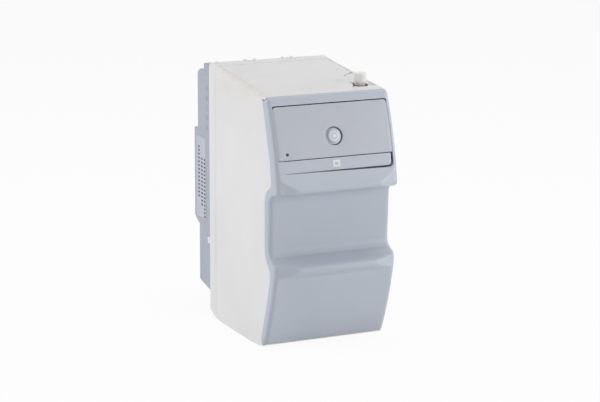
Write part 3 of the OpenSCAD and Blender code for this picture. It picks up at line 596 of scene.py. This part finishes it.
FINISHES = {
    "shell_white": moulded("hood_plastic", (232, 231, 232), extra=post_grime_shade_and_yellowing),
    "fascia_grey": moulded("fascia_plastic", (190, 196, 207), rough=0.40),
    "base_grey": moulded("base_plastic", (170, 176, 188), rough=0.5, relief=0.14),
    "door_grey": moulded("door_plastic", (190, 194, 204), rough=0.40),
    "steel": metal("plated_steel", (196, 196, 200)),
    "dark_lens": glazed("tinted_lens", (30, 20, 24)),
    "button_grey": moulded("button_plastic", (200, 205, 213), rough=0.36),
    "mark_grey": moulded("symbol_print", (226, 229, 234), rough=0.3, relief=0.04),
    "mark_light": moulded("tongue_print", (232, 234, 237), rough=0.3, relief=0.04),
    "magnet_nickel": metal("nickel", (188, 184, 176), 0.22),
    "post_white": moulded("post_plastic", (244, 243, 242), extra=post_grime_shade_and_yellowing),
    "battery_sleeve": moulded("battery_wrap", (62, 120, 92), rough=0.3, relief=0.05),
    "nickel_strip": metal("nickel_strip", (190, 188, 180), 0.3),
    "black_plastic": moulded("black_nylon", (38, 39, 42), rough=0.5, spread=0.1),
    "bezel_dark": moulded("bezel_plastic", (58, 62, 69), rough=0.46, spread=0.08),
    "lcd_glass": glazed("display_glass", (132, 146, 122), 0.1, 0.6),
    "pcb_green": moulded("solder_mask", (28, 92, 56), rough=0.3, relief=0.2, spread=0.12),
    "ribbon_grey": moulded("ribbon_jacket", (172, 174, 178), rough=0.45),
    "core_iron": metal("core_laminations", (92, 92, 96), 0.45, (1.0, 18.0, 1.0), 0.5),
    "coil_tape": moulded("coil_tape", (206, 176, 88), rough=0.35),
    "capacitor_sleeve": moulded("capacitor_sleeve", (36, 42, 78), rough=0.3),
    "film_yellow": moulded("film_capacitor_case", (198, 158, 58), rough=0.35),
    "varistor_blue": moulded("varistor_coat", (48, 86, 150), rough=0.38),
    "chip_black": moulded("chip_moulding", (26, 26, 28), rough=0.55, spread=0.1),
    "header_cream": moulded("header_nylon", (228, 222, 204), rough=0.4),
    "relay_white": moulded("relay_case", (224, 224, 220), rough=0.35),
    "copper": metal("copper", (206, 132, 92), 0.28),
    "brass": metal("brass", (208, 172, 96), 0.28),
    "label_film": moulded("label_film", (186, 192, 204), rough=0.28, relief=0.03),
    "label_ink": moulded("label_ink", (72, 74, 82), rough=0.4, relief=0.03),
}


# ---- moulded pieces that stand for CAD nodes ----


def span(lo, hi, step):
    return list(np.linspace(lo, hi, max(2, int(round((hi - lo) / step)) + 1)))


def front_outline():
    """The fascia's outline as (x, distance up the face)."""
    loop = rounded_rect(-FASCIA_X, FASCIA_X, 3.4, ROOF_FRONT - 0.25, 3.0, 4.0, 10)
    return [(x, up_face(z)) for x, z in dense_loop(loop, 1.2)]


def door_opening():
    """Cut-out for the door and the latch strip, counter-clockwise in (x, z)."""
    edge = DOOR_HALF + DOOR_GAP
    low_r, top_r, root_r = 4.4, 2.2, 4.98
    foot, top, sill = LATCH_FOOT - 1.6, DOOR_TOP + 0.8, DOOR_FOOT - 0.5
    middle = (LATCH_FOOT + LATCH_TOP) / 2
    meet = 180 - math.degrees(math.asin((sill - middle) / root_r))
    return (
        arc((LATCH_LEFT, middle), root_r, meet, 268, 14)
        + arc((edge - low_r, foot + low_r), low_r, 270, 360, 10)
        + arc((edge - top_r, top - top_r), top_r, 0, 90, 8)
        + arc((-edge + top_r, top - top_r), top_r, 90, 180, 8)
        + [(-edge, sill)]
    )


def root_fade(radius):
    """Edge radius that dies away where the latch strip grows out of the fascia."""
    least, reach, fade = 0.02, 6, 6

    def radius_at(u, v):
        beside = min(abs(v - up_arc(MARK_Z)), abs(v - up_face(MARK_Z)))
        if beside >= reach:
            return radius
        return least + (radius - least) * min(1.0, max(0.0, (u - LATCH_LEFT + 2) / fade))

    return radius_at


def build_fascia():
    shape = Shape()
    opening = [(x, up_face(z)) for x, z in dense_loop(door_opening(), 1.2)]

    def to_hood(u, v):
        z = face_height(v)
        back = 2.1 if z > ROOF_FRONT - WALL - 0.4 else hood_edge_y(z) - SEAM
        return back - face_front(u, z)

    fine = span(-52, -33, 0.95) + span(-30, 30, 5.0) + span(33, 52, 0.95)
    lip_heights = [z for lip in lips for z in lip.line[::3, 1]]
    rows = [-s for s in face_s[::5]] + [up_face(z) for z in lip_heights]
    rows = sorted(set(round(v, 2) for v in rows))
    rows = [v for i, v in enumerate(rows) if i == 0 or v - rows[i - 1] > 0.12]

    def side_round(u, v):
        # wide roundings down the sides, a tighter one along the top and the foot
        return 1.3 + 2.3 * min(1.0, max(0.0, (abs(u) - FASCIA_X + 3.0) / 3.0)) ** 2

    shape.panel(front_outline(), [opening], on_fascia, side_round, to_hood, fine, rows,
                hole_edge=root_fade(0.35), hole_end=5.5, back=False)
    return shape.piece("fascia_moulding", "meter_body", FINISHES["fascia_grey"],
                       ["fascia"], 50)


CORNER_R = 3.0
FLAT_X = SIDE_X - CORNER_R
CORNER_END = FLAT_X + CORNER_R * math.pi / 2


def on_hood(u, y, depth):
    """The hood unrolled: u runs over the roof and down either side, v is y."""
    side = math.copysign(1.0, u)
    over = abs(u)
    skirt = 0.3 * min(1.0, max(0.0, (y - HOOD_BACK + 12.2) / 0.4))
    if over <= FLAT_X:
        return (u, y, roof_z(y) - depth)
    turn = min(1.0, (over - FLAT_X) / (CORNER_END - FLAT_X)) * math.pi / 2
    r = CORNER_R - depth
    x = FLAT_X + r * math.sin(turn) + skirt * math.sin(turn)
    z = roof_z(y) - CORNER_R + r * math.cos(turn) - max(0.0, over - CORNER_END)
    return (side * x, y, z)


def unrolled(y, z):
    return CORNER_END + roof_z(y) - CORNER_R - z


def chaikin(path, rounds):
    """Corner-cut smoothing that keeps the two ends."""
    for _ in range(rounds):
        cut = [path[0]]
        for a, b in zip(path, path[1:]):
            a, b = np.array(a, float), np.array(b, float)
            cut += [tuple(a * 0.75 + b * 0.25), tuple(a * 0.25 + b * 0.75)]
        path = cut + [path[-1]]
    return path


def pocket_edge():
    """Left edge of the pocket for the seal post, from the lid's front to its right side."""
    return chaikin([
        (POST_X - 10.6, LID_FRONT), (POST_X - 9.6, 14.5), (POST_X - 7.4, 18), (POST_X - 6.6, 21),
        (POST_X - 5.7, 24), (POST_X - 4.2, 28.5), (POST_X - 3, 33), (POST_X - 2, 40),
        (POST_X - 1.4, 47), (POST_X, 50.5), (LID_HALF, 56.4)], 2)


def build_hood():
    shape = Shape()
    heel = [(88, 0), (94, 0.3), (100, 1), (105, 2.8), (109, 5), (HOOD_BACK, 7.2)]
    foot = [(5.6, 2.7), (12, 1.2), (30, 0)] + heel
    side = [tuple(p) for p in edge_line[::4]] + foot
    shoulder = [(2.5, ROOF_FRONT - WALL)]
    right = [(unrolled(y, z), y) for y, z in shoulder + side]
    left = [(-u, y) for u, y in right[::-1]]
    lid_hole = rounded_rect(-LID_HALF - 0.5, LID_HALF + 0.5, LID_FRONT - 0.4, LID_BACK + 0.8, 0.8, 0.8, 4)
    columns = span(-CORNER_END, -FLAT_X, 0.6) + span(FLAT_X, CORNER_END, 0.6)
    columns += span(-40, 40, 10) + span(60, 260, 8) + span(-260, -60, 8)
    rows = span(-8, 96, 8) + [99.7, 99.9, 100.1, 100.3, 104, 108]
    shape.panel(left + right, [lid_hole], on_hood, 0.5, WALL, sorted(columns), rows, hole_edge=0.4)

    def on_floor(x, y, depth):
        return (x, y, float(np.interp(y, [p[0] for p in foot], [p[1] for p in foot])) + depth)

    inner = SIDE_X - WALL + 0.3
    floor = rounded_rect(-inner, inner, 6.0, HOOD_BACK, 0.5, 0.5, 3)
    plate = Shape()
    plate.panel(floor, [], on_floor, 0.5, WALL, span(-48, 48, 8), span(8, 108, 6))
    plate.piece("hood_floor", "meter_body", FINISHES["shell_white"])
    pad = Shape()
    lid_side = [(x + 0.6, y - 0.6) for x, y in pocket_edge()]
    right_x, front_y = LID_HALF + 0.4, LID_FRONT - 0.3
    corner = [(right_x, front_y), (right_x, lid_side[-1][1])]
    corner += lid_side[::-1] + [(lid_side[0][0], front_y)]
    pad.panel(corner, [circle((POST_X, POST_Y), POST_R + PAD_GAP)],
              lambda x, y, d: (x, y, roof_z(y) - PAD_DROP - d), 0.15, 1.4,
              span(28, 47, 2), span(13, 56, 2), hole_edge=0.3)
    pad.piece("post_pad", "meter_body", FINISHES["shell_white"])
    for x in RIB_XS:
        shape.block((x - 1.3, x + 1.3), (HOOD_BACK - 5, HOOD_BACK - 0.4), (BODY_H - 2, BODY_H + 1.3), 0.9)
    for s in (-1, 1):
        ends = sorted((s * (LID_HALF + 0.5), s * (SIDE_X - WALL + 0.5)))
        shape.rod(*ends, LID_PIN_Y, roof_z(LID_PIN_Y) - 2.6, 2.2)
    return shape.piece("hood_shell", "meter_body", FINISHES["shell_white"], ["hood"])


def build_lid():
    shape = Shape()
    left = -LID_HALF - 0.25
    outline = (
        arc((left + 1, LID_FRONT + 1), 1, 180, 270, 4)
        + pocket_edge()
        + arc((LID_HALF - 1, LID_BACK - 1), 1, 0, 90, 4)
        + arc((left + 1, LID_BACK - 1), 1, 90, 180, 4)
    )

    def on_lid(x, y, depth):
        drop = float(np.interp(y, [12.7, 14.7, 18.7, 26], [0.9, 0.45, 0.15, 0]))
        return (x, y, roof_z(y) - drop - depth)

    shape.panel(outline, [], on_lid, 0.7, WALL, span(-46, 46, 5), span(14, 98, 3))
    for x in (-30, 0, 26):
        shape.block((x - 0.7, x + 0.7), (58, LID_BACK - 13), (-3.6, -WALL + 0.3), 0.2,
                    lambda a, b, c: (a, b, c + roof_z(b)))
    shape.turned([(0, 0), (3.8, 0), (4, 0.2), (4, 1.4), (0, 1.4)],
                 lambda p, q, h: (p - 30, q + 30, h + roof_z(30) - 3.2), 40)
    for s in (-1, 1):
        shape.rod(*sorted((s * (LID_HALF - 3.4), s * LID_HALF)), LID_PIN_Y, roof_z(LID_PIN_Y) - 2.6, 2.2)
    return shape.piece("service_lid", "top_lid", FINISHES["shell_white"], ["top_lid"])


def build_door():
    shape = Shape()
    low, high = up_arc(DOOR_FOOT), up_arc(DOOR_TOP)
    grow = 0.3
    outline = rounded_rect(-DOOR_HALF - grow, DOOR_HALF + grow, low, high + grow, 0.8, 2.8)
    button = circle((0, up_arc(BUTTON_Z)), BUTTON_R + 0.7)
    lamp = circle((LED_X, up_arc(LED_Z)), 1.2, 24)
    shape.panel(outline, [button, lamp], on_arc, 0.55, WALL, span(-46, 46, 4), span(low + 1, high - 1, 1.6),
                hole_edge=0.3)
    pin_a = lean(DOOR_TOP) - math.atan(2.4 / FACE_R)
    pin_y, pin_z = (FACE_C + (FACE_R - 2.8) * np.array([-math.cos(pin_a), math.sin(pin_a)])).tolist()
    for s in (-1, 1):
        shape.rod(*sorted((s * (DOOR_HALF - 3.2), s * (DOOR_HALF - 0.3))), pin_y, pin_z, 2.3)
    cup = [(BUTTON_R + 0.7, 1.8), (BUTTON_R + 2, 1.8), (BUTTON_R + 2, 5.6), (BUTTON_R + 1.8, 5.8),
           (2.56, 5.8), (2.56, 4.4), (BUTTON_R + 0.7, 4.4), (BUTTON_R + 0.7, 1.8)]
    shape.turned(cup, facing(BUTTON_Z))
    shape.block((-30, 30), (WALL - 0.2, WALL + 1.6), (low + 0.6, low + 2), 0.3,
                lambda a, b, c: on_arc(a, c, b))
    return shape.piece("door_flap", "door", FINISHES["door_grey"], ["door"])


def build_button():
    shape = Shape()
    r = BUTTON_R
    disc = [(0, -0.1), (r - 1.9, -0.08), (r - 1.55, 0.05), (r - 1.35, 0.35)]
    groove = [(r - 1.25, 1.2), (r - 0.4, 1.3), (r - 0.1, 1.4), (r, 1.6), (r, 2.2)]
    stem = [(2.5, 2.2), (2.5, 6.1), (0, 6.1)]
    shape.turned(disc + groove + stem, facing(BUTTON_Z), 72)
    shape.piece("push_button_cap", "push_button", FINISHES["button_grey"], ["push_button"])
    mark = Shape()
    mark.turned([(2.9, 0.0), (2.95, -0.16), (3.6, -0.16), (3.65, 0.0)], facing(BUTTON_Z), 64)
    mark.turned([(0, -0.16), (1.3, -0.16), (1.4, 0.0)], facing(BUTTON_Z), 32)
    mark.piece("button_symbol", "push_button", FINISHES["mark_grey"], ["button_mark"])


def build_latch():
    shape = Shape()
    middle = (up_arc(LATCH_FOOT) + up_arc(LATCH_TOP)) / 2
    half = (up_arc(LATCH_TOP) - up_arc(LATCH_FOOT)) / 2
    root = []
    for a in np.radians(np.linspace(90, 270, 25)):
        r = half + 0.24 * math.sqrt(abs(math.cos(a)))
        root.append((LATCH_LEFT + r * math.cos(a), middle + r * math.sin(a)))
    tip = arc((LATCH_RIGHT - 3, middle - half + 3), 3, 270, 360, 8)
    outline = root + tip + arc((LATCH_RIGHT - 0.6, middle + half - 0.6), 0.6, 0, 90, 3)
    shape.panel(outline, [], on_arc, root_fade(0.4), WALL, span(-46, 44, 4),
                span(middle - half + 1, middle + half - 1, 1.5))
    shape.piece("latch_strip", "latch_tongue", FINISHES["fascia_grey"], ["latch_tongue"])
    mark = Shape()
    v = up_arc(MARK_Z)
    mark.panel(rounded_rect(-3.2, 2.6, v - 2.65, v + 2.65, 0.4, 0.4, 4),
               [rounded_rect(-1.7, 1.1, v - 1.3, v + 1.1, 0.3, 0.9, 4)],
               lambda a, b, c: on_arc(a, b, c - 0.07), 0.1, 0.4, [], [], hole_edge=0.1)
    mark.piece("latch_symbol", "latch_tongue", FINISHES["mark_light"], ["latch_mark"])


def build_lens():
    shape = Shape()
    dome = [(0, 0.02), (0.5, 0.06), (0.9, 0.2), (1.1, 0.45), (1.15, WALL)]
    collar = [(1.6, WALL + 0.15), (1.6, WALL + 1), (0, WALL + 1)]
    shape.turned(dome + collar, facing(LED_Z, LED_X), 32)
    shape.piece("indicator_lens", "door", FINISHES["dark_lens"], ["led_lens"])


def build_post():
    """Ribbed turn-lock head on a tapered foot, with a dish in its top."""
    teeth = 26
    foot = roof_z(POST_Y) - 1.5
    head = roof_z(POST_Y) + 8.7
    r = POST_R
    profile = [
        (0, foot - 14), (1.8, foot - 14), (1.8, foot), (r - 1.4, foot), (r - 1.0, foot + 1),
        (r - 0.5, foot + 2.0), (r, foot + 2.5), (r, foot + 5), (r, head - 1.2), (r - 0.15, head - 0.6),
        (r - 0.5, head - 0.15), (r - 1.0, head), (r - 1.5, head - 0.1), (r - 1.8, head - 0.7),
        (0, head - 0.8)]
    ribbed = range(5, 10)

    def ribs(a, k):
        if k not in ribbed:
            return 1.0
        wave = 0.5 + 0.5 * math.cos(a * teeth)
        return 1.0 - 0.075 * (1 - wave**0.7)

    shape = Shape()
    shape.turned(profile, upright(POST_X, POST_Y), teeth * 10, ribs)
    shape.piece("seal_post_head", "seal_post", FINISHES["post_white"], ["seal_post"], 60)


build_fascia()
build_hood()
build_lid()
build_door()
build_button()
build_latch()
build_lens()
build_post()


# ---- CAD nodes that stay: moulded edges and a finish from their own material slot ----
SOFT_EDGES = {"rear_base": 0.7, "hood_clip": 0.3, "service_tray": 0.3, "bezel": 0.25, "relay_case": 0.4}
SMALL_EDGE = 0.12

for part in frame["record"]["subparts"]:
    obj = frame["nodes"][part["node"]]
    if obj.hide_render:
        continue
    obj.data.materials.clear()
    obj.data.materials.append(FINISHES[part["material_slot"]])
    weld = obj.modifiers.new("weld", "WELD")
    weld.merge_threshold = 1e-6
    bevel = obj.modifiers.new("edges", "BEVEL")
    bevel.width = SOFT_EDGES.get(part["node"], SMALL_EDGE) * MM
    bevel.segments = 3
    bevel.limit_method = "ANGLE"
    bevel.angle_limit = math.radians(35)
    bevel.harden_normals = True


# ---- floor, light and camera ----


def build_floor():
    size = 6.0
    bm = bmesh.new()
    bmesh.ops.create_grid(bm, x_segments=2, y_segments=2, size=size)
    mesh = bpy.data.meshes.new("studio_floor")
    bm.to_mesh(mesh)
    bm.free()
    floor = bpy.data.objects.new("studio_floor", mesh)
    floor.location.z = CAD_BOX[0].z - 0.0002
    bpy.context.scene.collection.objects.link(floor)
    mat = bpy.data.materials.new("studio_white")
    mat.use_nodes = True
    tree = mat.node_tree
    tree.nodes.clear()
    paper = tree.nodes.new("ShaderNodeBsdfDiffuse")
    paper.inputs["Color"].default_value = (0.9, 0.9, 0.9, 1)
    glow = tree.nodes.new("ShaderNodeEmission")
    blend = tree.nodes.new("ShaderNodeMixShader")
    out = tree.nodes.new("ShaderNodeOutputMaterial")
    share = tree.nodes.new("ShaderNodeMath")
    share.operation = "MULTIPLY"
    share.inputs[1].default_value = 0.93
    tree.links.new(white_rays(tree), share.inputs[0])
    tree.links.new(share.outputs[0], blend.inputs[0])
    tree.links.new(paper.outputs[0], blend.inputs[1])
    tree.links.new(glow.outputs[0], blend.inputs[2])
    tree.links.new(blend.outputs[0], out.inputs["Surface"])
    mesh.materials.append(mat)


def white_rays(tree):
    """1 for rays that should meet a white studio: camera, glossy and transmission."""
    path = tree.nodes.new("ShaderNodeLightPath")
    total = path.outputs["Is Camera Ray"]
    for name in ("Is Glossy Ray", "Is Transmission Ray"):
        add = tree.nodes.new("ShaderNodeMath")
        add.operation = "MAXIMUM"
        tree.links.new(total, add.inputs[0])
        tree.links.new(path.outputs[name], add.inputs[1])
        total = add.outputs[0]
    return total


def build_world(ambient):
    world = bpy.data.worlds.new("studio")
    bpy.context.scene.world = world
    world.use_nodes = True
    tree = world.node_tree
    back = tree.nodes["Background"]
    level = tree.nodes.new("ShaderNodeMapRange")
    level.inputs["To Min"].default_value = ambient
    level.inputs["To Max"].default_value = 1.0
    tree.links.new(white_rays(tree), level.inputs["Value"])
    tree.links.new(level.outputs["Result"], back.inputs["Strength"])
    back.inputs["Color"].default_value = (1, 1, 1, 1)


def softbox(name, at, aim, size, watts):
    light = bpy.data.lights.new(name, "AREA")
    light.shape = "RECTANGLE"
    light.size, light.size_y = size
    light.energy = watts
    obj = bpy.data.objects.new(name, light)
    obj.location = at
    obj.rotation_mode = "QUATERNION"
    obj.rotation_quaternion = (Vector(aim) - Vector(at)).to_track_quat("-Z", "Y")
    bpy.context.scene.collection.objects.link(obj)


def build_camera():
    azimuth, elevation, roll = -0.44024, 0.22036, 0.00401
    distance, lens = 1.663134, 124.35
    target = Vector((-0.0000702, -0.010602, 0.105408))
    back = Vector((math.sin(azimuth) * math.cos(elevation), -math.cos(azimuth) * math.cos(elevation),
                   math.sin(elevation)))
    right = Vector((math.cos(azimuth), math.sin(azimuth), 0))
    up = back.cross(right)
    tilted = right * math.cos(roll) + up * math.sin(roll)
    upright_axis = up * math.cos(roll) - right * math.sin(roll)
    data = bpy.data.cameras.new("camera")
    data.lens, data.sensor_width, data.sensor_fit = lens, 36.0, "HORIZONTAL"
    data.clip_start, data.clip_end = 0.05, 50.0
    cam = bpy.data.objects.new("camera", data)
    turn = Matrix((tilted, upright_axis, back)).transposed()
    cam.matrix_world = Matrix.Translation(target + back * distance) @ turn.to_4x4()
    bpy.context.scene.collection.objects.link(cam)
    bpy.context.scene.camera = cam


build_floor()
build_world(0.27)
softbox("left", (-1.7, 0.55, 0.55), (0, 0, 0.1), (0.9, 1.2), 16)
softbox("right", (1.4, -1.25, 0.42), (0, 0, 0.07), (0.9, 1.0), 19)
softbox("top", (0.1, -0.1, 1.75), (0, 0, 0.1), (1.3, 1.3), 11)
build_camera()
bpy.context.scene.view_settings.view_transform = "Standard"
